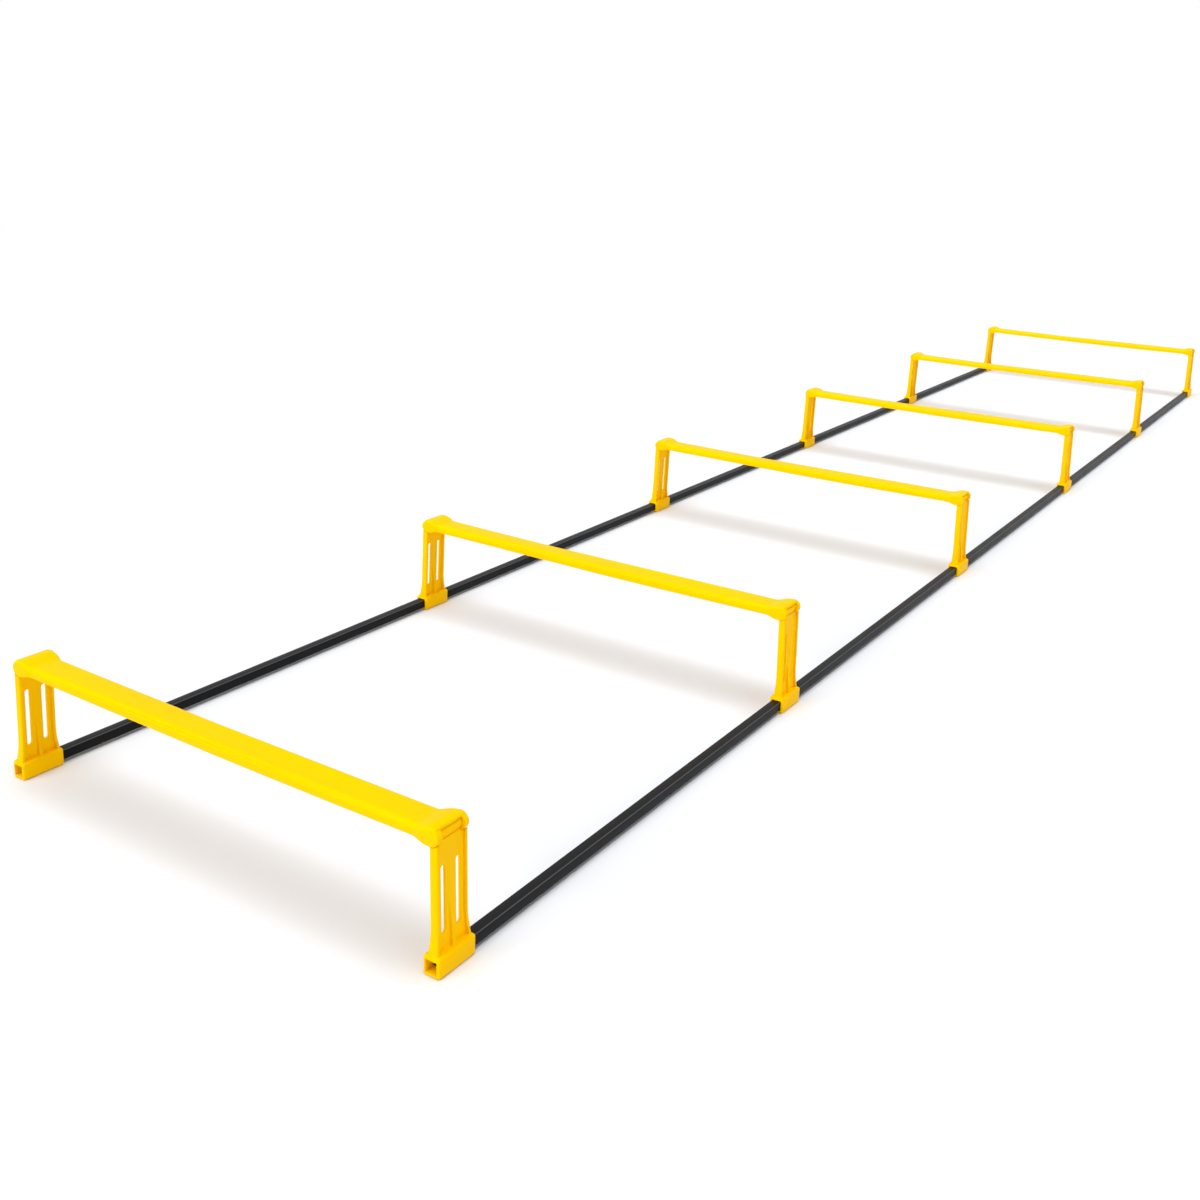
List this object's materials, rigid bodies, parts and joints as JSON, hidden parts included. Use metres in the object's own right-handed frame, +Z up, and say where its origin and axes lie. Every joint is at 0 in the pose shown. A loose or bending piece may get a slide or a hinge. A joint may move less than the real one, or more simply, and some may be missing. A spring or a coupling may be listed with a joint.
{
  "type": "raised agility ladder",
  "caption": "Raised training ladder: low moulded crossbars on slotted folding legs whose foot sleeves grip a square tube rail down each side.",
  "frame": {"origin": "centre of the ladder at floor level, under the middle of the rows of feet", "axes": "+X across the ladder from the left rail to the right rail, +Y along it away from rung 1, +Z up from the floor"},
  "size_m": [0.4594, 2.5888, 0.105],
  "materials": {
    "crossbar": "semi-gloss yellow moulding",
    "leg": "semi-gloss yellow moulding",
    "rail": "satin black extrusion"
  },
  "bodies": {
    "crossbars": {"crossbar_1": "crossbar", "crossbar_2": "crossbar", "crossbar_3": "crossbar", "crossbar_4": "crossbar", "crossbar_5": "crossbar", "crossbar_6": "crossbar"},
    "left_side": {"left_leg_1": "leg", "left_leg_2": "leg", "left_leg_3": "leg", "left_leg_4": "leg", "left_leg_5": "leg", "left_leg_6": "leg", "left_rail": "rail"},
    "right_side": {"right_leg_1": "leg", "right_leg_2": "leg", "right_leg_3": "leg", "right_leg_4": "leg", "right_leg_5": "leg", "right_leg_6": "leg", "right_rail": "rail"}
  },
  "joints": [
    {"name": "left_fold", "type": "hinge", "parent": "crossbars", "child": "left_side", "pos_m": [-0.2185, 0, 0.0982], "axis": [0, 1, 0], "range_deg": [0, 90]},
    {"name": "right_fold", "type": "hinge", "parent": "crossbars", "child": "right_side", "pos_m": [0.2185, 0, 0.0982], "axis": [0, -1, 0], "range_deg": [0, 90]}
  ]
}
